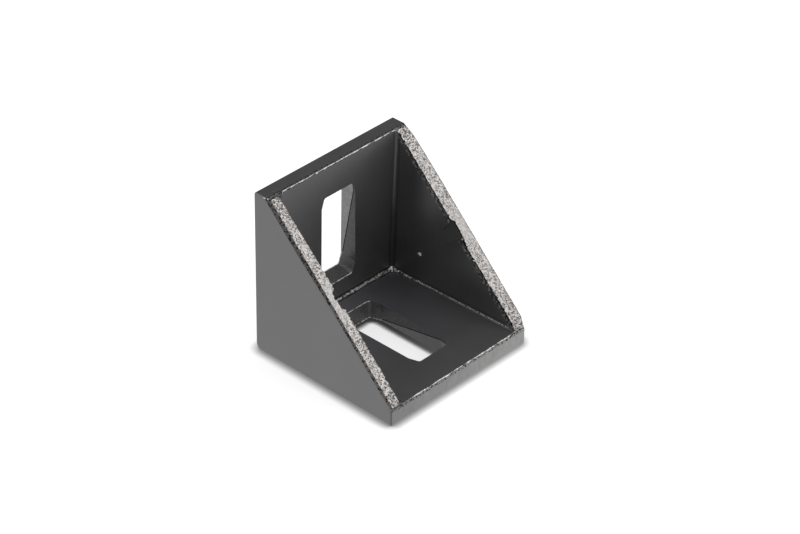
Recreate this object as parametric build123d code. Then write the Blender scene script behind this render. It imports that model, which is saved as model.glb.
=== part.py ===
from build123d import *
import os
from math import atan, degrees, hypot, radians, sqrt, tan

# A die-cast corner bracket for 20 mm slotted framing: two equal flanges at a right angle,
# closed on both sides by triangular gussets, with one long slot through each flange.
# The two halves of the die part along the diagonal of the corner, so the pocket and both
# slots are drafted that way.
#
# The model is built from the outer corner, where the two mounting faces would meet:
# X runs out along the base flange, Z up the back flange, Y across the width.
# The finished part then moves so that its origin is at the middle of the base.

# Driving dimensions, in millimetres and degrees
leg_length = 19.0            # outer corner to the end of either flange
bracket_width = 20.0         # over both gussets, the width of the profile it joins
flange_wall = 2.0            # both flanges
gusset_wall = 1.45           # each gusset, measured at its sloping face
core_draft = 2.6             # the gussets thicken towards the corner at this angle
outer_corner_radius = 0.8    # where the two mounting faces meet
edge_radius = 0.24           # the other outside edges of the casting
grinding_depth = 0.1         # the sloping faces are ground this far below the flanges' sharp corners
slope_bevel = 0.26           # outer edge of each sloping face
root_radius = 0.4            # all inside corners of the pocket

slot_centre = 10.0           # outer corner to the middle of a slot, half the profile's width
slot_length = 10.8           # at the waist, the narrowest section, where the die halves meet
slot_width = 4.8             # at the waist
side_draft = 1.5             # a slot's long walls open from the waist towards both faces
end_draft = 8.0              # its end walls open more steeply
end_taper = 0.37             # a slot narrows by this much on each side at its ends
end_taper_length = 1.25      # along the slot, from the start of the taper to the end wall
waist_corner_radius = 0.3    # slot corners at the waist
mouth_corner_radius = 0.6    # slot corners where a die half enters the flange

nick_length = 2.4            # gate nick in the inner edge of each sloping face, along the slope
nick_width = 0.45            # across the sloping face
nick_end = 0.3               # how much shorter the nick is at its far side, at each end
nick_depth = 2.4             # down the inner face of the gusset, to where the nick runs out

overrun = 1.0                # how far a cutter starts outside the casting

# Derived directions and planes
pull = Vector(1, 0, 1).normalized()
slope_middle = (leg_length + flange_wall) / 2 - grinding_depth / sqrt(2)
slope_plane = Plane(origin=(slope_middle, 0, slope_middle), x_dir=(0, 1, 0), z_dir=pull)
diagonal_plane = Plane(origin=(0, 0, 0), z_dir=(1, 0, -1))
pocket_half_width = bracket_width / 2 - gusset_wall


def casting_blank():
    """The solid wedge with its outside edges broken, before the pocket and the slots."""
    toe_height = 2 * slope_middle - leg_length
    outline = Polyline(
        (0, 0),
        (leg_length, 0),
        (leg_length, toe_height),
        (toe_height, leg_length),
        (0, leg_length),
        close=True,
    )
    blank = extrude(Plane.XZ * make_face(outline), amount=bracket_width / 2, both=True)

    across = blank.edges().filter_by(Axis.Y).sort_by_distance((0, 0, 0))
    blank = fillet(across[0], outer_corner_radius)
    toe_edges = blank.edges().filter_by(Axis.Y).sort_by_distance((0, 0, 0))[2:]
    side_edges = blank.faces().filter_by(Axis.Y).edges()
    blank = fillet(toe_edges + side_edges, edge_radius)

    bevel = slope_bevel_cutter()
    return blank - bevel - mirror(bevel, about=Plane.XZ)


def slope_bevel_cutter():
    """Cutter for the flat bevel along the outer edge of the +Y sloping face."""
    side = bracket_width / 2
    section = Polyline(
        (side - slope_bevel - overrun, overrun),
        (side + overrun, -slope_bevel - overrun),
        (side + overrun, overrun),
        close=True,
    )
    section_plane = Plane(slope_plane.origin, x_dir=(0, 1, 0), z_dir=(1, 0, -1))
    return extrude(section_plane * make_face(section), amount=leg_length, both=True)


def pocket():
    """The triangular space between the flanges and the gussets, drafted along the pull."""
    reach = leg_length + overrun
    triangle = Polyline(
        (flange_wall, flange_wall),
        (reach, flange_wall),
        (flange_wall, reach),
        close=True,
    )
    core = extrude(Plane.XZ * make_face(triangle), amount=pocket_half_width, both=True)
    core = draft(core.faces().filter_by(Axis.Y), slope_plane, -core_draft)

    def reaches_corner(edge):
        ends = [slope_plane.to_local_coords(edge.position_at(end)).Z for end in (0, 1)]
        return min(ends) < -overrun

    return fillet(core.edges().filter_by(reaches_corner), root_radius)


def slot_section(waist, shift):
    """A slot's section parallel to its waist, moved along X by shift."""
    along_pull = abs(shift) * waist.z_dir.X / waist.z_dir.dot(pull)
    side = slot_width / 2 + along_pull * tan(radians(side_draft))
    end = hypot(flange_wall, slot_length) / 2 + abs(shift) * tan(radians(end_draft))
    outline = Polyline(
        (side, end_taper_length - end),
        (side, end - end_taper_length),
        (side - end_taper, end),
        (end_taper - side, end),
        (-side, end - end_taper_length),
        (-side, end_taper_length - end),
        (end_taper - side, -end),
        (side - end_taper, -end),
        close=True,
    )
    rounding = (mouth_corner_radius - waist_corner_radius) * abs(shift) / flange_wall
    section = make_face(outline)
    end_corners = section.vertices().filter_by(lambda corner: abs(corner.Y) > end - end_taper_length / 2)
    section = fillet(end_corners, waist_corner_radius + rounding)
    return Plane(waist.origin + Vector(shift, 0, 0), x_dir=waist.x_dir, z_dir=waist.z_dir) * section


def back_slot():
    """Cutter for the slot in the back flange.

    The die halves meet in an inclined plane, which runs from the inner face at the slot's
    far end to the outer face at its near end. The slot is narrowest in that plane.
    """
    waist = Plane(
        origin=(flange_wall / 2, 0, slot_centre),
        x_dir=(0, 1, 0),
        z_dir=(slot_length, 0, -flange_wall),
    )
    reach = flange_wall * 1.2
    inner_half = loft([slot_section(waist, 0), slot_section(waist, reach)], ruled=True)
    outer_half = loft([slot_section(waist, -reach), slot_section(waist, 0)], ruled=True)
    return inner_half + outer_half


def gate_nick():
    """Cutter for the nick in the inner edge of the +Y gusset, half-way down its slope."""
    far_side = pocket_half_width + nick_width
    far_end = nick_length / 2 - nick_end
    near_side = pocket_half_width - overrun
    near_end = nick_length / 2 + nick_end * overrun / nick_width
    outline = Polyline(
        (near_side, near_end),
        (far_side, far_end),
        (far_side, -far_end),
        (near_side, -near_end),
        close=True,
    )
    run_out = degrees(atan(nick_width / nick_depth + tan(radians(core_draft))))
    return extrude(slope_plane * make_face(outline), amount=-nick_depth, taper=run_out)


def corner_bracket():
    """The whole casting, with its origin at the middle of the base."""
    slot = back_slot()
    nick = gate_nick()
    casting = casting_blank() - pocket()
    casting = casting - slot - mirror(slot, about=diagonal_plane)
    casting = casting - nick - mirror(nick, about=Plane.XZ)
    return Pos(-leg_length / 2, 0, 0) * casting


os.makedirs("parts", exist_ok=True)
bracket = corner_bracket()
bracket.label = "corner_bracket"
export_step(bracket, "parts/corner_bracket.step")
print(f"corner_bracket: {bracket.volume:.1f} cubic mm")
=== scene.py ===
import math

import bpy
import numpy as np
from mathutils import Matrix, Vector


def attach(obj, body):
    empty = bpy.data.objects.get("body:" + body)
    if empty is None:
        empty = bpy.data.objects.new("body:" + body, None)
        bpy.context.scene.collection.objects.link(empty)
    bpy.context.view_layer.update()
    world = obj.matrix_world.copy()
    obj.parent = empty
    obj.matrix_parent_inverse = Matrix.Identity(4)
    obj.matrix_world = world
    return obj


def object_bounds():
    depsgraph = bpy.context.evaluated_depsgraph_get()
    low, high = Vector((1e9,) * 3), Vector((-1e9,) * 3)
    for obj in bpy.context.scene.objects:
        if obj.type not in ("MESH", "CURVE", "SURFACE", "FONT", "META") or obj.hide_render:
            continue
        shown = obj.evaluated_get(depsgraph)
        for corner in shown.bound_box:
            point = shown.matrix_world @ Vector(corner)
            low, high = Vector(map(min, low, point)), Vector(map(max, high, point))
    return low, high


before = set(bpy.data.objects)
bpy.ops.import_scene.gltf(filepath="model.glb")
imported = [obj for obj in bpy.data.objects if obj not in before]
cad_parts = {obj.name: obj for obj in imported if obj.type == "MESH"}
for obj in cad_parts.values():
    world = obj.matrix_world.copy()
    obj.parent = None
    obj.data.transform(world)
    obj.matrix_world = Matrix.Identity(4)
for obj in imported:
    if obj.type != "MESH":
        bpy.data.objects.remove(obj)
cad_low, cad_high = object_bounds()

# A black coated die-cast corner bracket for 20 mm slotted framing. X runs out along the base
# flange, Y across the width and Z up the back flange; the origin is at the middle of the base.
# The casting was coated all over, and then its sloping faces were ground, so these are bare.
# Lengths are in millimetres, and left and right are the sides at -Y and +Y.

MM = 0.001

# The casting's own sizes
LEG = (cad_high.z - cad_low.z) / MM
WALL = 2.0                       # both flanges
GUSSET_WALL = 1.45               # each gusset at its ground face
HALF_WIDTH = (cad_high.y - cad_low.y) / MM / 2
CORE_DRAFT = math.radians(2.6)   # the gussets thicken towards the corner
GRINDING_DEPTH = 0.1             # the ground plane lies this far below the flanges' sharp corners
BEVEL = 0.26                     # outer edge of each ground face
BEVEL_NARROWS = (-6.5, 0.5)      # where the left bevel narrows, down the slope from its middle
FLAT_BEVEL = 0.03                # the right one, which the grinder has all but taken away
LEFT_CROWN = 0.1                 # how far the left gusset's end stands above the ground plane
RIGHT_CROWN = 0.32               # and the right one's
ROOT_RADIUS = 0.4                # inside corners of the pocket
NICK_LENGTH = 2.4                # gate nick in a ground face's inner edge, along the slope
NICK_WIDTH = 0.45                # across the ground face
NICK_END = 0.3                   # how much shorter the nick is at its far side, at each end
NICK_DEPTH = 2.4                 # down the gusset's inner face, to where the nick runs out
SLOT_CENTRE = 10.0               # outer corner to the middle of a slot
SLOT_LENGTH = 10.8               # at the waist, where the die halves meet
SLOT_HALF_WIDTH = 3.0            # a little more than half a slot's mouth

CORNER_X = -LEG / 2              # where the two mounting faces would meet
POCKET_HALF = HALF_WIDTH - GUSSET_WALL
SLOPE_SUM = LEG + WALL - GRINDING_DEPTH * math.sqrt(2) + CORNER_X   # X + Z all over the ground plane
SLOPE_X = (SLOPE_SUM + CORNER_X) / 2                                # middle of the slope
SLOPE_Z = SLOPE_SUM - SLOPE_X
SLOPE_HALF = (LEG - SLOPE_Z) * math.sqrt(2)                         # middle of the slope to its end
SLOT_NEAR = SLOT_CENTRE - SLOT_LENGTH / 2                           # where the waist meets the outside
SLOT_RISE = SLOT_LENGTH / WALL                                      # the waist's climb through the flange
SLOT_REACH = (SLOT_NEAR - 1, SLOT_NEAR + SLOT_LENGTH + 1)           # the stretch that holds the slot

# The kinds of node that the finishes use most
MATHS = "ShaderNodeMath"
MAP_RANGE = "ShaderNodeMapRange"
MIX = "ShaderNodeMix"
NOISE = "ShaderNodeTexNoise"
PRINCIPLED = "ShaderNodeBsdfPrincipled"


def colour(hex_code):
    """An sRGB hex colour as linear red, green, blue and alpha."""
    channels = np.array([int(hex_code[i:i + 2], 16) for i in (1, 3, 5)]) / 255
    linear = np.where(channels <= 0.04045, channels / 12.92, ((channels + 0.055) / 1.055) ** 2.4)
    return (*linear.tolist(), 1.0)


def add_node(tree, kind, settings=None, values=None, links=None):
    """Adds one node. A link's source is a node, for its first output, or a node and an output's name."""
    made = tree.nodes.new(kind)
    for name, value in (settings or {}).items():
        setattr(made, name, value)
    for socket, value in (values or {}).items():
        made.inputs[socket].default_value = value
    for socket, source in (links or {}).items():
        node, output = source if isinstance(source, tuple) else (source, 0)
        tree.links.new(node.outputs[output], made.inputs[socket])
    return made


def new_material(name):
    """An empty node material and its tree."""
    made = bpy.data.materials.new(name)
    made.use_nodes = True
    made.node_tree.nodes.clear()
    return made, made.node_tree


# ---- surfaces ----------------------------------------------------------------------------------

def lattice_noise(u, v, spacing, seed):
    """Smooth random heights from -1 to 1: each point blends the four lattice values round it."""
    lattice = np.random.default_rng(seed).uniform(-1, 1, (256, 256))
    a = np.asarray(u, float) / spacing
    b = np.asarray(v, float) / spacing
    i = np.floor(a).astype(int)
    j = np.floor(b).astype(int)
    f = (a - i) ** 2 * (3 - 2 * (a - i))
    g = (b - j) ** 2 * (3 - 2 * (b - j))
    low = lattice[i % 256, j % 256] * (1 - f) + lattice[(i + 1) % 256, j % 256] * f
    high = lattice[i % 256, (j + 1) % 256] * (1 - f) + lattice[(i + 1) % 256, (j + 1) % 256] * f
    return low * (1 - g) + high * g


def closed_skin(name, rings, material):
    """One closed mesh from rings of points, an array of rings x points x 3, capped at both ends.

    Neighbouring rings are joined by quads. A mesh whose signed volume is negative is turned
    inside out first, so that its faces point outwards.
    """
    count, around = rings.shape[:2]
    index = np.arange(count * around).reshape(count, around)
    first = index[:-1]
    second = index[1:]
    quads = np.stack([first, second, np.roll(second, -1, axis=1), np.roll(first, -1, axis=1)], axis=-1)
    points = rings.reshape(-1, 3) * MM
    quads = quads.reshape(-1, 4)
    corners = points[quads] - points.mean(axis=0)
    volume = np.einsum("ij,ij->", corners[:, 0], np.cross(corners[:, 1], corners[:, 2]))
    volume += np.einsum("ij,ij->", corners[:, 0], np.cross(corners[:, 2], corners[:, 3]))
    faces = quads.tolist() + [index[0].tolist(), index[-1][::-1].tolist()]
    if volume < 0:
        faces = [face[::-1] for face in faces]
    mesh = bpy.data.meshes.new(name)
    mesh.from_pydata(points, [], faces)
    mesh.shade_smooth()
    mesh.materials.append(material)
    piece = bpy.data.objects.new(name, mesh)
    bpy.context.collection.objects.link(piece)
    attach(piece, "root")
    return piece


def on_slope(along, across, height):
    """Points at a distance down the ground slope, across the bracket and above the ground plane."""
    along, across, height = np.broadcast_arrays(along, across, height)
    x = SLOPE_X + (height + along) / math.sqrt(2)
    z = SLOPE_Z + (height - along) / math.sqrt(2)
    return np.stack([x, across, z], axis=-1)


def ground_form(side, along):
    """How a gusset's end is ground, at distances down the slope: four heights and widths.

    They are the crown above the casting's flat end, the outer bevel's width across and its depth,
    and the gate nick's width. The left end is nearly flat, with a bevel that narrows down the
    slope and the nick at its full width. The right end is fuller, with hardly any bevel between
    its ends, and its nick is shallower and runs out down the slope. Both crowns end at the toe.
    """
    run_out, build_up, end_run = 1.2, 3.5, 1.4
    toe = np.clip((SLOPE_HALF - along) / run_out, 0, 1)
    if side < 0:
        crown = toe * np.interp(along, BEVEL_NARROWS, (0.0, LEFT_CROWN))
        bevel_across = np.interp(along, (-SLOPE_HALF, BEVEL_NARROWS[1]), (0.38, 0.3))
        bevel_down = np.interp(along, BEVEL_NARROWS, (BEVEL, 0.1))
        nick = NICK_WIDTH * np.clip((NICK_LENGTH / 2 - np.abs(along)) / NICK_END, 0, 1)
    else:
        crown = toe * RIGHT_CROWN * (1 - np.exp(-(along + SLOPE_HALF) / build_up))
        bevel_down = np.interp(np.abs(along), (SLOPE_HALF - end_run, SLOPE_HALF), (FLAT_BEVEL, BEVEL))
        bevel_across = bevel_down
        stations = (-1.25, -0.95, 0.0, 1.1, 2.2)
        nick = NICK_WIDTH * np.interp(along, stations, (0.0, 0.7, 0.7, 0.45, 0.0))
    return crown, bevel_across, bevel_down, nick


def gusset_face(x, z):
    """How far from the middle a gusset's drafted inner face lies."""
    return POCKET_HALF - (SLOPE_SUM - x - z) / math.sqrt(2) * math.tan(CORE_DRAFT)


def gusset_rim(name, side, along, material):
    """The end of one gusset as the grinder left it, set on the casting's own flat end.

    The section starts deep on the pocket side, rises along the drafted face or the nick to the
    crown, crosses to the bevel, goes down it to the outer side and returns through the casting.
    """
    crown, bevel_across, bevel_down, nick = ground_form(side, along)
    outer_depth, outer_in, sunk = 0.4, 0.5, 0.004
    run = math.tan(CORE_DRAFT)
    outline = ((POCKET_HALF - NICK_DEPTH * run + sunk, -NICK_DEPTH),
               (POCKET_HALF + crown * run + nick + sunk, crown),
               (HALF_WIDTH - bevel_across, crown),
               (HALF_WIDTH - sunk, crown - bevel_down),
               (HALF_WIDTH - sunk, -outer_depth),
               (HALF_WIDTH - outer_in, -NICK_DEPTH))
    rings = np.stack([on_slope(along, side * across, height) for across, height in outline], axis=1)
    rim = closed_skin(name, rings, material)
    rim.data.shade_flat()


def ground_edges(side, along, seed):
    """How far from the middle a ground face's inner and outer edges lie, at distances down the slope.

    The edges follow the end's nick and bevel and wander by lattice noise. The inner one steps back
    where the grinder has broken chips out of it, and on the left it stands out above the nick and
    in below it. Both edges draw together in a quarter round at the ends.
    """
    _, bevel_across, _, nick = ground_form(side, along)
    wander = 0.03 * lattice_noise(along, 0, 0.5, seed) + 0.03 * lattice_noise(along, 7, 0.12, seed + 1)
    chips = 0.25 * np.clip(lattice_noise(along, 3, 0.2, seed + 2) - 0.4, 0, 1)
    round_length = 0.25
    to_end = np.minimum(along - along[0], along[-1] - along)
    rounding = 1 - np.sqrt(1 - np.clip(1 - to_end / round_length, 0, 1) ** 2)
    inner = POCKET_HALF + nick + wander + chips + 0.3 * rounding
    if side < 0:
        stations = (-9.0, -5.0, -1.3, -1.2, 1.2, 1.3)
        inner += np.interp(along, stations, (0.0, -0.09, -0.09, -0.04, -0.04, 0.06))
    else:
        inner -= np.interp(along, (-8.0, -6.0, 3.0, 8.0), (0.03, 0.09, 0.09, 0.03))
    outer = HALF_WIDTH - bevel_across + 0.03 * lattice_noise(along, 5, 0.16, seed + 3) - 0.2 * rounding
    return inner, np.minimum(outer, HALF_WIDTH - 0.01)


def ground_face(name, side, along, seed, material):
    """The bare ground end face of one gusset: a thin skin that lies on the gusset's rim.

    Its section is a strip between the two edges, carried down the slope. The height is a fine
    lattice noise, flattened on top as grinding leaves it.
    """
    lift, sink = 0.008, 0.03
    grain, grain_height = 0.12, 0.006
    inner, outer = ground_edges(side, along, seed)
    crown = ground_form(side, along)[0][:, None]
    across = inner[:, None] + (outer - inner)[:, None] * np.linspace(0, 1, 34)
    relief = np.clip(lattice_noise(along[:, None], across, grain, seed + 4), -1, 0.3)
    top = on_slope(along[:, None], side * across, crown + lift + grain_height * relief)
    under = on_slope(along[:, None], side * np.stack([outer, inner], axis=1), crown - sink)
    return closed_skin(name, np.concatenate([top, under], axis=1), material)


def ribbon(name, first, second, base, material):
    """A thin ribbon of bright burr between two lines that run along the ground plane.

    Each line is an array of distances down the slope and an array of distances across the bracket.
    The top stands just above the base height, and the bottom is sunk in the metal.
    """
    lift, sink = 0.012, 0.03
    rings = np.stack([on_slope(*first, base + lift), on_slope(*second, base + lift),
                      on_slope(*second, base - sink), on_slope(*first, base - sink)], axis=1)
    return closed_skin(name, rings, material)


def bared_edge(name, end, across, gap, seed, material):
    """The broken line of metal where a flange's inner end edge meets the ground plane.

    It lies at a gap from the flange's end, given with the distances across the bracket; end is -1
    at the top and 1 at the toe. Lattice noise makes it wander and pinches it almost to nothing,
    and past the pocket it runs over the right gusset's crown.
    """
    clear = 0.03
    half = 0.036 + 0.03 * lattice_noise(across, 2, 0.5, seed + 2)
    half += 0.02 * lattice_noise(across, 6, 0.15, seed + 3)
    half = np.clip(half, 0.006, 0.065) * np.sqrt(np.clip((across - across[0]) / 0.4, 0.01, 1))
    centre = gap + 0.025 * lattice_noise(across, 0, 0.9, seed)
    centre += 0.012 * lattice_noise(across, 4, 0.25, seed + 1)
    centre = np.maximum(centre, half + clear)
    near = end * (SLOPE_HALF - centre + half)
    far = end * (SLOPE_HALF - centre - half)
    on_gusset = np.interp(across, (POCKET_HALF - 0.03, POCKET_HALF + 0.02), (0.0, 1.0))
    base = on_gusset * ground_form(1, end * (SLOPE_HALF - centre))[0]
    return ribbon(name, (near, across), (far, across), base, material)


def inner_burr(name, side, along, seed, burr_seed, material):
    """The burr the grinder has turned over a ground face's inner edge, pinched and broken by noise."""
    overhang = 0.012
    inner = ground_edges(side, along, seed)[0]
    width = 0.03 + 0.06 * lattice_noise(along, 0, 0.6, burr_seed)
    width += 0.04 * lattice_noise(along, 5, 0.13, burr_seed + 1)
    width = np.clip(width, 0.004, 0.11)
    crown = ground_form(side, along)[0]
    first = (along, side * (inner - overhang))
    second = (along, side * (inner + width))
    return ribbon(name, first, second, crown, material)


def root_seam(name, path, radius, seed, material):
    """The rough seam round the foot of the pocket, halfway up its inside corners.

    A circle of the given radius, half buried in the casting, follows the path. Lattice noise in the
    distance along the path and round the circle swells and pinches it.
    """
    step = np.linalg.norm(np.diff(path, axis=0), axis=1)
    along = np.concatenate([[0], np.cumsum(step)])
    turn = np.linspace(0, 2 * np.pi, 16, endpoint=False)
    lumps = 1 + 0.45 * lattice_noise(along[:, None], np.abs(turn - np.pi), 0.16, seed)
    lumps += 0.4 * lattice_noise(along[:, None], np.abs(turn - np.pi), 0.6, seed + 1)
    forward = np.gradient(path, axis=0)
    sideways = np.cross(forward, [0, 0, 1])
    sideways /= np.linalg.norm(sideways, axis=1)[:, None]
    size = (np.clip(lumps, 0.15, 2) * radius[:, None])[..., None]
    ring = np.cos(turn)[:, None] * sideways[:, None, :] + np.sin(turn)[:, None] * np.array([0, 0, 1])
    return closed_skin(name, path[:, None, :] + size * ring, material)


def metal_lump(name, centre, size, seed, material):
    """A small lump of metal: a sphere squashed to its three half sizes, made uneven by lattice noise.

    Its rings stop just short of the poles, where flat caps close it.
    """
    rise = np.linspace(-0.5, 0.5, 13)[:, None] * np.pi * 0.98
    turn = np.linspace(0, 2 * np.pi, 18, endpoint=False)
    uneven = 1 + 0.3 * lattice_noise(rise, np.abs(turn - np.pi), 0.9, seed)
    level = np.cos(rise)
    sphere = np.stack([level * np.cos(turn), level * np.sin(turn), np.sin(rise) + 0 * turn], axis=-1)
    rings = np.array(centre) + sphere * uneven[..., None] * np.array(size)
    return closed_skin(name, rings, material)


# ---- finishes ----------------------------------------------------------------------------------

def place_in_mm(tree):
    """The place on the object, in mm along its own axes."""
    metres = add_node(tree, "ShaderNodeTexCoord")
    return add_node(tree, "ShaderNodeVectorMath", {"operation": "SCALE"}, {"Scale": 1 / MM},
                    {0: (metres, "Object")})


def casting_places(tree):
    """Places on the casting that its finish follows, as masks and distances in mm."""
    place = place_in_mm(tree)
    axes = add_node(tree, "ShaderNodeSeparateXYZ", links={0: place})
    outward = add_node(tree, MATHS, {"operation": "SUBTRACT"}, {1: CORNER_X}, {0: (axes, "X")})
    across = add_node(tree, MATHS, {"operation": "ABSOLUTE"}, links={0: (axes, "Y")})
    inside = add_node(tree, MATHS, {"operation": "LESS_THAN"}, {1: POCKET_HALF}, {0: across})

    # How deep a point lies in the nearer flange, and how far along it
    depth = add_node(tree, MATHS, {"operation": "MINIMUM"}, links={0: outward, 1: (axes, "Z")})
    reach = add_node(tree, MATHS, {"operation": "MAXIMUM"}, links={0: outward, 1: (axes, "Z")})

    # 1 on the walls of the slots, 0 elsewhere
    near, far = SLOT_REACH
    in_flange = add_node(tree, MATHS, {"operation": "COMPARE"}, {1: WALL / 2, 2: WALL / 2 - 0.01}, {0: depth})
    in_reach = add_node(tree, MATHS, {"operation": "COMPARE"}, {1: (near + far) / 2, 2: (far - near) / 2},
                        {0: reach})
    in_width = add_node(tree, MATHS, {"operation": "LESS_THAN"}, {1: SLOT_HALF_WIDTH}, {0: across})
    slot = add_node(tree, MATHS, {"operation": "MULTIPLY"}, links={0: in_flange, 1: in_reach})
    slot = add_node(tree, MATHS, {"operation": "MULTIPLY"}, links={0: slot, 1: in_width})

    # Distance from the slot's waist plane, above 0 on the side of the outer die
    climb = add_node(tree, MATHS, {"operation": "MULTIPLY_ADD"}, {1: -SLOT_RISE, 2: -SLOT_NEAR}, {0: depth})
    waist = add_node(tree, MATHS, {"operation": "ADD"}, links={0: climb, 1: reach})
    waist = add_node(tree, MATHS, {"operation": "DIVIDE"}, {1: math.hypot(1, SLOT_RISE)}, {0: waist})

    # Depth below the ground plane, distance down the slope from its middle, and distance from the
    # inner face of the nearer gusset
    total = add_node(tree, MATHS, {"operation": "ADD"}, links={0: (axes, "X"), 1: (axes, "Z")})
    below = add_node(tree, MATHS, {"operation": "SUBTRACT"}, {0: SLOPE_SUM}, {1: total})
    below = add_node(tree, MATHS, {"operation": "DIVIDE"}, {1: math.sqrt(2)}, {0: below})
    along = add_node(tree, MATHS, {"operation": "SUBTRACT"}, links={0: (axes, "X"), 1: (axes, "Z")})
    along = add_node(tree, MATHS, {"operation": "SUBTRACT"}, {1: SLOPE_X - SLOPE_Z}, {0: along})
    along = add_node(tree, MATHS, {"operation": "DIVIDE"}, {1: math.sqrt(2)}, {0: along})
    gusset = add_node(tree, MATHS, {"operation": "MULTIPLY_ADD"}, {1: -math.tan(CORE_DRAFT), 2: POCKET_HALF},
                      {0: below})
    gusset = add_node(tree, MATHS, {"operation": "SUBTRACT"}, links={0: gusset, 1: across})
    return {"place": place, "x": (axes, "X"), "y": (axes, "Y"), "z": (axes, "Z"), "across": across,
            "inside": inside, "depth": depth, "reach": reach, "slot": slot, "waist": waist,
            "below": below, "along": along, "gusset": gusset}


def slot_marks(tree, at, mottle):
    """Masks on the slots' walls: the outer die's half, the inner die's half, the crease, light edges.

    The crease is the dark line at the parting of the two dies. The light edges at the slots' near ends
    are painted highlights and partly bared chips, and the mottle breaks them up.
    """
    outer_die = add_node(tree, MATHS, {"operation": "GREATER_THAN"}, {1: 0.0}, {0: at["waist"]})
    outer_die = add_node(tree, MATHS, {"operation": "MULTIPLY"}, links={0: outer_die, 1: at["slot"]})
    inner_die = add_node(tree, MATHS, {"operation": "SUBTRACT"}, links={0: at["slot"], 1: outer_die})

    crease = add_node(tree, MATHS, {"operation": "COMPARE"}, {1: 0.0, 2: 0.06}, {0: at["waist"]})
    crease = add_node(tree, MATHS, {"operation": "MULTIPLY"}, links={0: crease, 1: at["slot"]})
    near_end = add_node(tree, MATHS, {"operation": "LESS_THAN"}, {1: SLOT_NEAR + 1.4}, {0: at["reach"]})
    far_part = add_node(tree, MATHS, {"operation": "SUBTRACT"}, {0: 1.0}, {1: near_end})
    crease = add_node(tree, MATHS, {"operation": "MULTIPLY"}, links={0: crease, 1: far_part})

    # The light edges are painted highlights where the edges catch the light, and partly bared chips.
    low_edge = add_node(tree, MATHS, {"operation": "LESS_THAN"}, {1: 0.1}, {0: at["depth"]})
    low_edge = add_node(tree, MATHS, {"operation": "MULTIPLY"}, links={0: low_edge, 1: near_end})
    mouth_edge = add_node(tree, MATHS, {"operation": "GREATER_THAN"}, {1: WALL - 0.1}, {0: at["depth"]})
    end_wall = add_node(tree, MATHS, {"operation": "LESS_THAN"}, {1: SLOT_NEAR - 0.1}, {0: at["reach"]})
    mouth_edge = add_node(tree, MATHS, {"operation": "MULTIPLY"}, links={0: mouth_edge, 1: end_wall})
    edge_highlight_and_chips = add_node(tree, MATHS, {"operation": "MAXIMUM"}, links={0: low_edge, 1: mouth_edge})
    edge_highlight_and_chips = add_node(tree, MATHS, {"operation": "MULTIPLY"}, links={0: edge_highlight_and_chips, 1: at["slot"]})
    broken = add_node(tree, MAP_RANGE, values={"From Min": 0.4, "From Max": 0.52}, links={"Value": mottle})
    edge_highlight_and_chips = add_node(tree, MATHS, {"operation": "MULTIPLY"}, links={0: edge_highlight_and_chips, 1: broken})
    return outer_die, inner_die, crease, edge_highlight_and_chips


def pocket_roots(tree, at):
    """The inside corners of the pocket, as a mask of 0.75, and painted shade on the lower part of the upright
    ones.

    The upright corners lose their sheen from halfway down, where matt black is painted in as shade.
    """
    by_gusset = add_node(tree, MATHS, {"operation": "LESS_THAN"}, {1: ROOT_RADIUS + 0.05}, {0: at["gusset"]})
    by_corner = add_node(tree, MATHS, {"operation": "LESS_THAN"}, {1: WALL + ROOT_RADIUS + 0.05},
                         {0: at["reach"]})
    by_flange = add_node(tree, MATHS, {"operation": "COMPARE"}, {1: WALL + 0.2, 2: 0.26}, {0: at["depth"]})
    root = add_node(tree, MATHS, {"operation": "MAXIMUM"}, links={0: by_gusset, 1: by_corner})
    root = add_node(tree, MATHS, {"operation": "MULTIPLY"}, links={0: root, 1: by_flange})
    root = add_node(tree, MATHS, {"operation": "MULTIPLY"}, links={0: root, 1: at["inside"]})
    root = add_node(tree, MATHS, {"operation": "MULTIPLY"}, {1: 0.75}, {0: root})

    # Painted shade low in the upright corners, which the matt black shows
    upright = add_node(tree, MATHS, {"operation": "COMPARE"}, {1: CORNER_X + WALL + 0.25, 2: 0.3},
                       {0: at["x"]})
    upright = add_node(tree, MATHS, {"operation": "MULTIPLY"}, links={0: upright, 1: root})
    painted_low_shade = add_node(tree, MAP_RANGE,
                        values={"From Min": 8.5, "From Max": 11.0, "To Min": 0.8, "To Max": 0.0},
                        links={"Value": at["z"]})
    painted_low_shade = add_node(tree, MATHS, {"operation": "MULTIPLY"}, links={0: painted_low_shade, 1: upright})
    return root, painted_low_shade


def ground_marks(tree, at):
    """Masks of the coat that grinding has touched: on the gussets' outer bevels and on the ground plane."""
    bevel = add_node(tree, MAP_RANGE,
                     values={"From Min": BEVEL_NARROWS[0], "From Max": BEVEL_NARROWS[1],
                             "To Min": BEVEL, "To Max": 0.01},
                     links={"Value": at["along"]})
    on_bevel = add_node(tree, MATHS, {"operation": "LESS_THAN"}, links={0: at["below"], 1: bevel})
    outer_part = add_node(tree, MATHS, {"operation": "GREATER_THAN"}, {1: HALF_WIDTH - 0.4},
                          {0: at["across"]})
    on_bevel = add_node(tree, MATHS, {"operation": "MULTIPLY"}, links={0: on_bevel, 1: outer_part})
    on_ground = add_node(tree, MATHS, {"operation": "LESS_THAN"}, {1: 0.01}, {0: at["below"]})

    # Neither reaches the bracket's outer sides
    off_side = add_node(tree, MATHS, {"operation": "LESS_THAN"}, {1: HALF_WIDTH - 0.006}, {0: at["across"]})
    on_bevel = add_node(tree, MATHS, {"operation": "MULTIPLY"}, links={0: on_bevel, 1: off_side})
    on_ground = add_node(tree, MATHS, {"operation": "MULTIPLY"}, links={0: on_ground, 1: off_side})
    return on_bevel, on_ground


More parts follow.
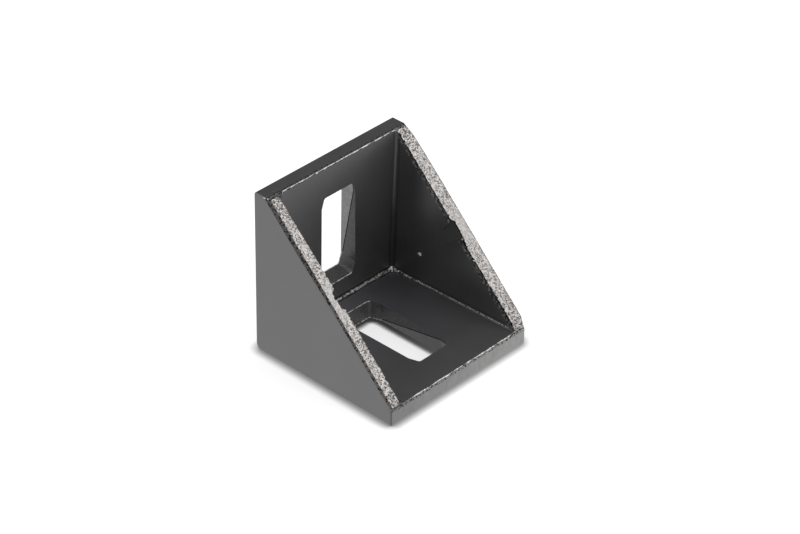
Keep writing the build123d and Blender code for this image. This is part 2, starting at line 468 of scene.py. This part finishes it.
def torn_coat(tree, at, mottle, on_bevel, on_ground):
    """Black specks and pale flecks where the grinder has torn the coat, as two masks.

    The specks lie on the bevels and the ground plane, in a fringe on the gussets' inner faces, and
    on the flanges' ends just under the ground plane. The flecks lie in the fringe only.
    """
    torn = add_node(tree, MATHS, {"operation": "LESS_THAN"}, {1: 0.47}, {0: mottle})
    specks = add_node(tree, MATHS, {"operation": "MAXIMUM"}, links={0: on_bevel, 1: on_ground})
    specks = add_node(tree, MATHS, {"operation": "MULTIPLY"}, links={0: specks, 1: torn})

    near_slope = add_node(tree, MATHS, {"operation": "LESS_THAN"}, {1: 0.5}, {0: at["below"]})
    on_gusset = add_node(tree, MATHS, {"operation": "COMPARE"}, {1: 0.0, 2: 0.03}, {0: at["gusset"]})
    near_slope = add_node(tree, MATHS, {"operation": "MULTIPLY"}, links={0: near_slope, 1: on_gusset})
    thinning = add_node(tree, MATHS, {"operation": "MULTIPLY_ADD"}, {1: 0.14}, {0: at["below"], 2: mottle})
    fringe = add_node(tree, MATHS, {"operation": "LESS_THAN"}, {1: 0.48}, {0: thinning})
    fringe = add_node(tree, MATHS, {"operation": "MULTIPLY"}, links={0: fringe, 1: near_slope})
    fringe = add_node(tree, MATHS, {"operation": "MULTIPLY"}, {1: 0.6}, {0: fringe})
    flecks = add_node(tree, MAP_RANGE, values={"From Min": 0.57, "From Max": 0.66, "To Max": 0.9},
                      links={"Value": thinning})
    flecks = add_node(tree, MATHS, {"operation": "MULTIPLY"}, links={0: flecks, 1: near_slope})

    under_edge = add_node(tree, MATHS, {"operation": "LESS_THAN"}, {1: 0.16}, {0: at["below"]})
    on_end = add_node(tree, MATHS, {"operation": "GREATER_THAN"}, {1: LEG - 0.02}, {0: at["reach"]})
    under_edge = add_node(tree, MATHS, {"operation": "MULTIPLY"}, links={0: under_edge, 1: on_end})
    under_edge = add_node(tree, MATHS, {"operation": "MULTIPLY"}, links={0: under_edge, 1: torn})
    fringe = add_node(tree, MATHS, {"operation": "MAXIMUM"}, links={0: fringe, 1: under_edge})
    specks = add_node(tree, MATHS, {"operation": "MAXIMUM"}, links={0: specks, 1: fringe})
    return specks, flecks


def end_face_streaks_and_sheen(tree, at):
    """Scuffed upright streaks on the base flange's end face, with a painted sheen that grows stronger across
    the bracket.
    """
    end_face = add_node(tree, MATHS, {"operation": "GREATER_THAN"}, {1: CORNER_X + LEG - 0.05}, {0: at["x"]})
    streaks = add_node(tree, "ShaderNodeMapping", values={"Scale": (1.0, 1 / 0.5, 1 / 1.2)},
                       links={"Vector": at["place"]})
    streaks = add_node(tree, NOISE, values={"Scale": 1.0, "Detail": 3.0}, links={"Vector": streaks})
    sheen_and_wear = add_node(tree, MAP_RANGE, values={"From Min": 0.25, "From Max": 0.75, "To Min": 0.5},
                    links={"Value": streaks})
    sheen_and_wear = add_node(tree, MATHS, {"operation": "MULTIPLY"}, links={0: end_face, 1: sheen_and_wear})
    # Painted light: the end face is drawn lighter towards the right side of the bracket.
    rising = add_node(tree, MAP_RANGE,
                      values={"From Min": -HALF_WIDTH, "From Max": HALF_WIDTH, "To Min": 0.3, "To Max": 1.3},
                      links={"Value": at["y"]})
    return add_node(tree, MATHS, {"operation": "MULTIPLY"}, links={0: sheen_and_wear, 1: rising})


def pocket_floor_tint_and_light(tree, at):
    """A bluish tint and painted light on the floor of the pocket, which fade away from the back flange."""
    on_floor = add_node(tree, MATHS, {"operation": "COMPARE"}, {1: WALL, 2: 0.05}, {0: at["z"]})
    past_flange = add_node(tree, MATHS, {"operation": "GREATER_THAN"}, {1: CORNER_X + WALL}, {0: at["x"]})
    in_pocket = add_node(tree, MATHS, {"operation": "MULTIPLY"}, links={0: past_flange, 1: at["inside"]})
    # Painted light: the floor is drawn lighter next to the back flange, where the corner is in shade.
    film = add_node(tree, MAP_RANGE,
                    values={"From Min": CORNER_X + WALL, "From Max": CORNER_X + 14.0,
                            "To Min": 0.4, "To Max": 0.1},
                    links={"Value": at["x"]})
    film = add_node(tree, MATHS, {"operation": "MULTIPLY"}, links={0: film, 1: on_floor})
    return add_node(tree, MATHS, {"operation": "MULTIPLY"}, links={0: film, 1: in_pocket})


def slot_chalk(tree, at, mottle, outer_die):
    """The chalky mottle on the slots' walls, strongest on the outer die's half of the back slot."""
    chalk = add_node(tree, MAP_RANGE,
                     values={"From Min": 0.4, "From Max": 0.75, "To Min": 0.2, "To Max": 0.6},
                     links={"Value": mottle})
    chalk = add_node(tree, MATHS, {"operation": "MULTIPLY"}, links={0: chalk, 1: outer_die})
    up_back = add_node(tree, MAP_RANGE, values={"From Min": 4.0, "From Max": 11.0, "To Min": 0.3},
                       links={"Value": at["z"]})
    chalk = add_node(tree, MATHS, {"operation": "MULTIPLY"}, links={0: chalk, 1: up_back})
    grain = add_node(tree, MAP_RANGE, values={"From Min": 0.3, "From Max": 0.7, "To Max": 0.15},
                     links={"Value": mottle})
    grain = add_node(tree, MATHS, {"operation": "MULTIPLY"}, links={0: grain, 1: at["slot"]})
    return add_node(tree, MATHS, {"operation": "MAXIMUM"}, links={0: chalk, 1: grain})


def electrocoated_casting():
    """Black electrocoat on die-cast aluminium.

    The film is thin and satin, so the die's own skin shows through it as a fine peel, and the eye
    sees the pale surroundings in it more than its own black. Inside the slots the half cast by the
    outer die is mottled, the other half is dull, and a dark crease marks the parting between them.
    The pocket's inside corners and the bevels are dull as well, and black specks show beside the
    ground faces where the grinder has torn the film.
    """
    made, tree = new_material("electrocoated_aluminium_casting")
    at = casting_places(tree)

    # Mottle in patches of 0.25 mm, the film's peel at 0.4 mm, and slow changes over 3 mm where the
    # metal flowed. The mottle and the peel are drawn as coarse as they need to be to show.
    mottle = add_node(tree, NOISE, values={"Scale": 1 / 0.25, "Detail": 2.0}, links={"Vector": at["place"]})
    peel = add_node(tree, NOISE, values={"Scale": 1 / 0.4, "Detail": 3.0}, links={"Vector": at["place"]})
    flow = add_node(tree, NOISE, values={"Scale": 1 / 3.0, "Detail": 1.0}, links={"Vector": at["place"]})

    outer_die, inner_die, crease, edge_highlight_and_chips = slot_marks(tree, at, mottle)
    root, painted_corner_shade = pocket_roots(tree, at)
    on_bevel, on_ground = ground_marks(tree, at)
    specks, flecks = torn_coat(tree, at, mottle, on_bevel, on_ground)
    at_toe = add_node(tree, MATHS, {"operation": "GREATER_THAN"}, {1: CORNER_X + LEG - 0.1}, {0: at["x"]})
    toe_edge = add_node(tree, MATHS, {"operation": "GREATER_THAN"}, {1: HALF_WIDTH - 0.1}, {0: at["across"]})
    toe_edge = add_node(tree, MATHS, {"operation": "MULTIPLY"}, links={0: toe_edge, 1: at_toe})
    dulled = on_bevel
    for mask in (root, toe_edge, inner_die, on_ground):
        dulled = add_node(tree, MATHS, {"operation": "MAXIMUM"}, links={0: dulled, 1: mask})
    # The crease, and the painted shade low in the upright corners, take the matt black of the specks
    for mask in (crease, painted_corner_shade):
        specks = add_node(tree, MATHS, {"operation": "MAXIMUM"}, links={0: specks, 1: mask})

    # Black, with each mark laid over the one before. The end face's sheen and the pocket floor's lightening
    # are painted light, the slots' light edges are painted highlights and chips, and the rest is the coat's
    # own.
    tint = add_node(tree, MIX, {"data_type": "RGBA"}, {"A": colour("#2a2a2b"), "B": colour("#363637")},
                    {"Factor": flow})
    sheen_and_wear = ((end_face_streaks_and_sheen(tree, at), "#7d7c7b"), (on_bevel, "#4a4846"), (flecks, "#8f8d8a"),
            (pocket_floor_tint_and_light(tree, at), "#5a5960"), (slot_chalk(tree, at, mottle, outer_die), "#9a9896"),
            (edge_highlight_and_chips, "#d8d6d4"))
    for mask, shade in sheen_and_wear:
        tint = add_node(tree, MIX, {"data_type": "RGBA"}, {"B": colour(shade)},
                        {"Factor": mask, "A": (tint, "Result")})

    # The satin film, the same film where it is dull, and bare black specks. The satin's IOR is fitted to
    # how strongly the casting mirrors, and is higher than a paint's own.
    rough = add_node(tree, MAP_RANGE, values={"To Min": 0.28, "To Max": 0.38}, links={"Value": peel})
    bump = add_node(tree, "ShaderNodeBump", values={"Strength": 0.35, "Distance": 0.012 * MM},
                    links={"Height": peel})
    satin = add_node(tree, PRINCIPLED, values={"IOR": 2.15},
                     links={"Base Color": (tint, "Result"), "Roughness": rough, "Normal": bump})
    dull = add_node(tree, PRINCIPLED, values={"IOR": 1.6, "Roughness": 0.4},
                    links={"Base Color": (tint, "Result"), "Normal": bump})
    matt = add_node(tree, PRINCIPLED, values={"Base Color": colour("#1c1c1d"), "IOR": 1.3, "Roughness": 0.8})
    shown = add_node(tree, "ShaderNodeMixShader", links={0: dulled, 1: satin, 2: dull})
    shown = add_node(tree, "ShaderNodeMixShader", links={0: specks, 1: shown, 2: matt})
    add_node(tree, "ShaderNodeOutputMaterial", links={"Surface": shown})
    return made


def ground_aluminium():
    """Bare die-cast aluminium, ground flat with a fairly coarse stone.

    The eye sees a pale grey metal peppered with dark grains of 0.1 to 0.2 mm, where the stone has
    torn the surface or opened a pore. The middle of the slope is smoother and paler than its ends.
    Finer grains would not show, so these are as coarse as they need to be.
    """
    made, tree = new_material("ground_bare_aluminium")
    place = place_in_mm(tree)
    axes = add_node(tree, "ShaderNodeSeparateXYZ", links={0: place})
    along = add_node(tree, MATHS, {"operation": "SUBTRACT"}, links={0: (axes, "X"), 1: (axes, "Z")})
    from_middle = add_node(tree, MATHS, {"operation": "SUBTRACT"}, {1: SLOPE_X - SLOPE_Z}, {0: along})
    from_middle = add_node(tree, MATHS, {"operation": "ABSOLUTE"}, links={0: from_middle})

    # Each grain has a grey of its own; a finer noise and wider patches are laid over the grains
    grains = add_node(tree, "ShaderNodeTexVoronoi", values={"Scale": 1 / 0.15}, links={"Vector": place})
    fine = add_node(tree, NOISE, values={"Scale": 1 / 0.11, "Detail": 1.0}, links={"Vector": place})
    patches = add_node(tree, NOISE, values={"Scale": 1 / 0.9, "Detail": 2.0}, links={"Vector": place})
    grey = add_node(tree, MATHS, {"operation": "MULTIPLY_ADD"}, {1: 0.5, 2: -0.25}, {0: (grains, "Color")})
    grey = add_node(tree, MATHS, {"operation": "ADD"}, links={0: grey, 1: fine})
    wide = add_node(tree, MATHS, {"operation": "MULTIPLY_ADD"}, {1: 0.25, 2: -0.125}, {0: patches})
    grey = add_node(tree, MATHS, {"operation": "ADD"}, links={0: grey, 1: wide})

    # The ends of the slope are more torn than the rest, and the middle is close to one even grey
    smooth = add_node(tree, MAP_RANGE,
                      values={"From Min": 0.32, "From Max": 0.62, "To Min": 0.12, "To Max": 0.86},
                      links={"Value": grey})
    torn = add_node(tree, MAP_RANGE,
                    values={"From Min": 0.38, "From Max": 0.63, "To Min": 0.06, "To Max": 0.86},
                    links={"Value": grey})
    ends = add_node(tree, MAP_RANGE, values={"From Min": 11.0, "From Max": 16.0},
                    links={"Value": from_middle})
    level = add_node(tree, MIX, links={"Factor": ends, 2: smooth, 3: torn})
    middle = add_node(tree, MAP_RANGE,
                      values={"From Min": 1.5, "From Max": 4.5, "To Min": 0.5, "To Max": 0.0},
                      links={"Value": from_middle})
    level = add_node(tree, MIX, values={3: 0.68}, links={"Factor": middle, 2: level})

    # A broken dark line runs along the right face's outer edge
    edge_line = add_node(tree, MATHS, {"operation": "COMPARE"}, {1: HALF_WIDTH - 0.07, 2: 0.06},
                         {0: (axes, "Y")})
    unbroken = add_node(tree, MAP_RANGE, values={"From Min": 0.36, "From Max": 0.5, "To Max": 0.8},
                        links={"Value": patches})
    edge_line = add_node(tree, MATHS, {"operation": "MULTIPLY"}, links={0: edge_line, 1: unbroken})
    level = add_node(tree, MIX, values={3: 0.22}, links={"Factor": edge_line, 2: level})

    tint = add_node(tree, MIX, {"data_type": "RGBA"}, {"A": colour("#1e1c1b"), "B": colour("#d6d2cf")},
                    {"Factor": level})
    bump = add_node(tree, "ShaderNodeBump", values={"Strength": 0.5, "Distance": 0.02 * MM},
                    links={"Height": level})
    metal = add_node(tree, PRINCIPLED, values={"Metallic": 0.65, "Roughness": 0.5},
                     links={"Base Color": (tint, "Result"), "Normal": bump})
    add_node(tree, "ShaderNodeOutputMaterial", links={"Surface": metal})
    return made


def rough_grains(name, low, high, dark, pale):
    """Rough grains of 0.2 mm, from a dark to a pale colour where the noise runs from low to high.

    The eye sees a dull, broken line of metal: oxidised burr, torn flash, or coat rubbed off it. The pale
    grains are partly a painted highlight.
    """
    made, tree = new_material(name)
    grain = add_node(tree, NOISE, values={"Scale": 1 / 0.2, "Detail": 2.0},
                     links={"Vector": place_in_mm(tree)})
    grit_and_highlight = add_node(tree, MAP_RANGE, values={"From Min": low, "From Max": high}, links={"Value": grain})
    tint = add_node(tree, MIX, {"data_type": "RGBA"}, {"A": colour(dark), "B": colour(pale)},
                    {"Factor": grit_and_highlight})
    skin = add_node(tree, PRINCIPLED, values={"IOR": 1.6, "Roughness": 0.5},
                    links={"Base Color": (tint, "Result")})
    add_node(tree, "ShaderNodeOutputMaterial", links={"Surface": skin})
    return made


# ---- the stage ---------------------------------------------------------------------------------

def seen_directly(tree):
    """1 for camera, glossy and transmission rays, 0 for the rays that light the object."""
    rays = add_node(tree, "ShaderNodeLightPath")
    seen = add_node(tree, MATHS, {"operation": "MAXIMUM"},
                    links={0: (rays, "Is Camera Ray"), 1: (rays, "Is Glossy Ray")})
    return add_node(tree, MATHS, {"operation": "MAXIMUM"}, links={0: seen, 1: (rays, "Is Transmission Ray")})


def stage_sheet(name, corners, material):
    """One flat sheet of the stage, from its four corners."""
    mesh = bpy.data.meshes.new(name)
    mesh.from_pydata(np.array(corners) * MM, [], [(0, 1, 2, 3)])
    mesh.materials.append(material)
    sheet = bpy.data.objects.new(name, mesh)
    bpy.context.collection.objects.link(sheet)
    return sheet


def contact_shade(tree):
    """Where the floor lies under the bracket, as a mask, and how light the whole floor is.

    It is painted shade: darker close to the bracket, and darker still in the base slot.
    """
    axes = add_node(tree, "ShaderNodeSeparateXYZ", links={0: place_in_mm(tree)})
    in_length = add_node(tree, MATHS, {"operation": "COMPARE"}, {1: 0.0, 2: LEG / 2 - 1}, {0: (axes, "X")})
    in_width = add_node(tree, MATHS, {"operation": "COMPARE"}, {1: 0.0, 2: HALF_WIDTH - 1}, {0: (axes, "Y")})
    under = add_node(tree, MATHS, {"operation": "MULTIPLY"}, links={0: in_length, 1: in_width})

    open_sky = add_node(tree, "ShaderNodeAmbientOcclusion", {"samples": 16}, {"Distance": 1.1 * MM})
    outside = add_node(tree, MATHS, {"operation": "POWER"}, {1: 1.8}, {0: (open_sky, "AO")})
    outside = add_node(tree, MATHS, {"operation": "MAXIMUM"}, {1: 0.3}, {0: outside})

    # In the slot the floor is darkest beside the walls, and lighter at the end nearest the toe
    in_slot = add_node(tree, MAP_RANGE, values={"From Min": 0.7, "From Max": 1.0},
                       links={"Value": (open_sky, "AO")})
    in_slot = add_node(tree, MATHS, {"operation": "POWER"}, {1: 2.0}, {0: in_slot})
    in_slot = add_node(tree, MATHS, {"operation": "MULTIPLY_ADD"}, {1: 0.82, 2: 0.04}, {0: in_slot})
    least = add_node(tree, MAP_RANGE,
                     values={"From Min": -2.0, "From Max": 4.0, "To Min": 0.04, "To Max": 0.1},
                     links={"Value": (axes, "X")})
    in_slot = add_node(tree, MATHS, {"operation": "MAXIMUM"}, links={0: in_slot, 1: least})
    slot_end = CORNER_X + SLOT_REACH[1]
    at_end = add_node(tree, MAP_RANGE,
                      values={"From Min": slot_end - 1.6, "From Max": slot_end - 0.9, "To Max": 0.8},
                      links={"Value": (axes, "X")})
    in_slot = add_node(tree, MATHS, {"operation": "MAXIMUM"}, links={0: in_slot, 1: at_end})
    return under, add_node(tree, MIX, links={"Factor": under, 2: outside, 3: in_slot})


def pale_floor():
    """A plain white floor, which keeps the object's soft shadow, deepened by painted contact shade, and shows
    white in reflections.
    """
    made, tree = new_material("matt_white_table")
    paint = add_node(tree, "ShaderNodeBsdfDiffuse", values={"Color": (0.8, 0.8, 0.8, 1)})
    under, shade = contact_shade(tree)
    lit_tone = add_node(tree, MATHS, {"operation": "MULTIPLY"}, {1: 1.45}, {0: shade})
    even_tone = add_node(tree, MATHS, {"operation": "MULTIPLY"}, {1: 1.05}, {0: shade})
    lit = add_node(tree, "ShaderNodeBsdfDiffuse", links={"Color": lit_tone})
    even = add_node(tree, "ShaderNodeEmission", links={"Strength": even_tone})
    shaded = add_node(tree, "ShaderNodeMixShader", values={0: 0.65}, links={1: lit, 2: even})

    # Reflections show the open floor as plain white, and less than half as bright in the slot
    rays = add_node(tree, "ShaderNodeLightPath")
    glow = add_node(tree, MATHS, {"operation": "MULTIPLY_ADD"}, {1: -0.58, 2: 1.0}, {0: under})
    white = add_node(tree, "ShaderNodeEmission", links={"Strength": glow})
    seen = add_node(tree, "ShaderNodeMixShader", links={0: (rays, "Is Glossy Ray"), 1: shaded, 2: white})
    both = add_node(tree, "ShaderNodeMixShader", links={0: seen_directly(tree), 1: paint, 2: seen})
    add_node(tree, "ShaderNodeOutputMaterial", links={"Surface": both})
    reach = 600
    corners = [(-reach, -reach, 0), (reach, -reach, 0), (reach, reach, 0), (-reach, reach, 0)]
    stage_sheet("floor", corners, made)


def studio_world():
    """Even soft light from all round, with white behind the object and in its reflections."""
    world = bpy.data.worlds.new("studio")
    bpy.context.scene.world = world
    world.use_nodes = True
    tree = world.node_tree
    tree.nodes.clear()
    fill = add_node(tree, "ShaderNodeBackground", values={"Color": (1, 1, 1, 1), "Strength": 0.85})
    white = add_node(tree, "ShaderNodeBackground", values={"Color": (1, 1, 1, 1), "Strength": 1.0})
    both = add_node(tree, "ShaderNodeMixShader", links={0: seen_directly(tree), 1: fill, 2: white})
    add_node(tree, "ShaderNodeOutputWorld", links={"Surface": both})


def towards(azimuth, elevation):
    """The unit direction at an angle round from -Y towards +X and an angle up from the floor."""
    azimuth, elevation = math.radians(azimuth), math.radians(elevation)
    level = math.cos(elevation)
    return Vector((math.sin(azimuth) * level, -math.cos(azimuth) * level, math.sin(elevation)))


def soft_box(name, azimuth, elevation, distance, size, energy):
    """A square soft box that looks at the object from a direction."""
    data = bpy.data.lights.new(name, "AREA")
    data.size = size * MM
    data.energy = energy
    lamp = bpy.data.objects.new(name, data)
    away = towards(azimuth, elevation)
    lamp.location = away * distance * MM
    lamp.rotation_mode = "QUATERNION"
    lamp.rotation_quaternion = (-away).to_track_quat("-Z", "Y")
    bpy.context.collection.objects.link(lamp)


def dark_card(name, azimuth, elevation, distance, size, shade):
    """A square dark card that only reflections show, which keeps a glossy face dark."""
    made, tree = new_material(name)
    grey = add_node(tree, "ShaderNodeEmission", values={"Color": (1, 1, 1, 1), "Strength": shade})
    add_node(tree, "ShaderNodeOutputMaterial", links={"Surface": grey})
    away = towards(azimuth, elevation)
    across = away.cross(Vector((0, 0, 1))).normalized()
    up = across.cross(away)
    corners = [away * distance + across * a * size / 2 + up * b * size / 2
               for a, b in ((-1, -1), (1, -1), (1, 1), (-1, 1))]
    card = stage_sheet(name, corners, made)
    card.visible_camera = False
    card.visible_diffuse = False
    card.visible_shadow = False


def product_camera():
    """A long lens, looking down into the pocket from the left front, with a slight tilt."""
    azimuth, elevation, tilt = 42.686, 34.559, 0.971
    distance = 300.26
    target = Vector((1.9475, -0.9158, 11.0846))
    back = towards(azimuth, elevation)
    data = bpy.data.cameras.new("camera")
    data.sensor_width = 36.0
    data.lens = 135.45
    data.clip_start = 10 * MM
    camera = bpy.data.objects.new("camera", data)
    turned = (-back).to_track_quat("-Z", "Y").to_matrix() @ Matrix.Rotation(math.radians(tilt), 3, "Z")
    camera.matrix_world = Matrix.Translation((target + back * distance) * MM) @ turned.to_4x4()
    bpy.context.collection.objects.link(camera)
    bpy.context.scene.camera = camera


# ---- the bracket -------------------------------------------------------------------------------

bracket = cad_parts["corner_bracket"]
coat = electrocoated_casting()
bracket.material_slots[0].material = coat

bare = ground_aluminium()
whole_slope = np.linspace(0.06 - SLOPE_HALF, SLOPE_HALF - 0.06, 900)
gusset_rim("gusset_rim_left", -1, whole_slope, coat)
gusset_rim("gusset_rim_right", 1, whole_slope, coat)
left_seed, right_seed = 11, 41
down_left = np.linspace(0.28 - SLOPE_HALF, SLOPE_HALF - 0.22, 900)
down_right = np.linspace(0.25 - SLOPE_HALF, SLOPE_HALF - 0.28, 900)
ground_face("ground_face_left", -1, down_left, left_seed, bare)
ground_face("ground_face_right", 1, down_right, right_seed, bare)

# The edges' metal has an oxide skin, and its pale colour is partly a painted highlight, so it is pale from
# every side. The line along the top bends down into the pocket's corners, and the line along the toe
# draws back on the right gusset.
burr = rough_grains("bared_aluminium_with_painted_highlight", 0.35, 0.6, "#8a8886", "#f2f0ee")
top_line = np.linspace(0.5 - POCKET_HALF, POCKET_HALF - 0.05, 700)
drop = 0.25 * np.clip((0.8 - POCKET_HALF - top_line) / 0.3, 0, 1) ** 2
drop += 0.35 * np.clip((top_line - POCKET_HALF + 0.45) / 0.4, 0, 1) ** 2
bared_edge("bared_edge_back", -1, top_line, 0.08 + drop, 21, burr)
inner_burr("ground_burr_right", 1, down_right, right_seed, 51, burr)
toe_line = np.linspace(0.25 - POCKET_HALF, HALF_WIDTH - 0.3, 760)
climb = 0.1 * np.clip((toe_line - POCKET_HALF + 1.05) / 1.1, 0, 1)
bared_edge("bared_edge_base", 1, toe_line, 0.13 + climb, 31, burr)

# The seam runs along the back flange to the corner, and along the right gusset to the toe. It is
# thickest in the corner and thins out along the gusset.
# The seam's pale grains are partly a painted highlight on the fillet it runs in.
grit_and_highlight = rough_grains("rough_seam_with_painted_highlight", 0.42, 0.62, "#262626", "#c4c1be")
foot = ROOT_RADIUS * (1 - math.sqrt(0.5))
seam_x, seam_z = CORNER_X + WALL + foot, WALL + foot
corner_y = gusset_face(CORNER_X + WALL, seam_z) - foot
back_y = np.linspace(0.65 - POCKET_HALF, corner_y - 0.15, 420)
back_part = np.stack(np.broadcast_arrays(seam_x, back_y, seam_z), axis=1)
gusset_x = np.linspace(seam_x + 0.15, CORNER_X + LEG - 0.3, 520)
gusset_y = gusset_face(gusset_x, seam_z) - foot
gusset_part = np.stack(np.broadcast_arrays(gusset_x, gusset_y, seam_z), axis=1)
seam = np.concatenate([back_part, gusset_part])
from_corner = np.linalg.norm(seam - gusset_part[0], axis=1)
past_corner = np.arange(len(seam)) >= len(back_part)
radius = np.where(past_corner, 0.055 + 0.09 * np.exp(-from_corner / 2.5), 0.15)
radius += 0.1 * np.exp(-(from_corner / 0.6) ** 2)
root_seam("root_seam", seam, radius, 5, grit_and_highlight)

# Bright grains of flash on the seam, partly a painted glint: each one's place from the corner, and its half
# sizes
flash = rough_grains("flash_grains_with_painted_glint", 0.35, 0.5, "#c8c6c4", "#ffffff")
corner = np.array([seam_x, corner_y, seam_z])
grains = {
    "left": ((0.06, -0.42, 0.1), (0.1, 0.16, 0.09)),
    "upper": ((0.1, -0.14, 0.24), (0.12, 0.14, 0.1)),
    "middle": ((0.26, -0.2, 0.12), (0.13, 0.11, 0.09)),
    "lower": ((0.42, -0.36, 0.0), (0.08, 0.1, 0.06)),
    "right": ((0.5, -0.06, 0.12), (0.14, 0.09, 0.08)),
    "far": ((0.95, -0.04, 0.06), (0.12, 0.07, 0.07)),
    "inner": ((3.75, 0.16, 0.03), (0.12, 0.06, 0.06)),
    "outer": ((12.4, 0.42, 0.0), (0.1, 0.05, 0.05)),
}
for seed, (place, (offset, size)) in enumerate(grains.items()):
    metal_lump(f"seam_grain_{place}", corner + offset, size, 60 + seed, flash)

# Single burrs and specks: each one's place, half sizes and seed
top_corner = np.array([CORNER_X, -HALF_WIDTH, LEG])
lumps = {
    "nick_burr": (on_slope(1.089, POCKET_HALF - 0.11, 0.284), (0.1, 0.09, 0.08), 16),
    "inner_burr_upper": (on_slope(3.147, POCKET_HALF - 0.11, 0.277), (0.07, 0.07, 0.06), 17),
    "inner_burr_lower": (on_slope(3.55, POCKET_HALF - 0.19, 0.27), (0.09, 0.09, 0.05), 18),
    "gusset_speck": ((CORNER_X + 5.79, POCKET_HALF - 0.35, 5.49), (0.24, 0.12, 0.16), 7),
    "edge_fleck_back": (on_slope(0.107 - SLOPE_HALF, -3.06, -0.077), (0.12, 0.15, 0.08), 8),
    "edge_fleck_base": (on_slope(SLOPE_HALF - 0.142, 4.66, -0.027), (0.08, 0.12, 0.1), 9),
    "top_burr_outer": (top_corner + (1.46, 0.05, -0.05), (0.17, 0.035, 0.035), 14),
    "top_burr_inner": (top_corner + (1.86, 0.16, -0.06), (0.13, 0.05, 0.04), 15),
}
for name, (place, size, seed) in lumps.items():
    metal_lump(name, place, size, seed, burr)

# ---- light and camera --------------------------------------------------------------------------

# The ground ends mirror the soft box, and the pocket mirrors the cards
pale_floor()
studio_world()
soft_box("soft_box", azimuth=137, elevation=52, distance=450, size=360, energy=0.5)
dark_card("back_card", azimuth=222, elevation=40, distance=420, size=460, shade=0.17)
dark_card("front_card", azimuth=42, elevation=50, distance=420, size=460, shade=0.1)
product_camera()
bpy.context.scene.view_settings.view_transform = "Standard"
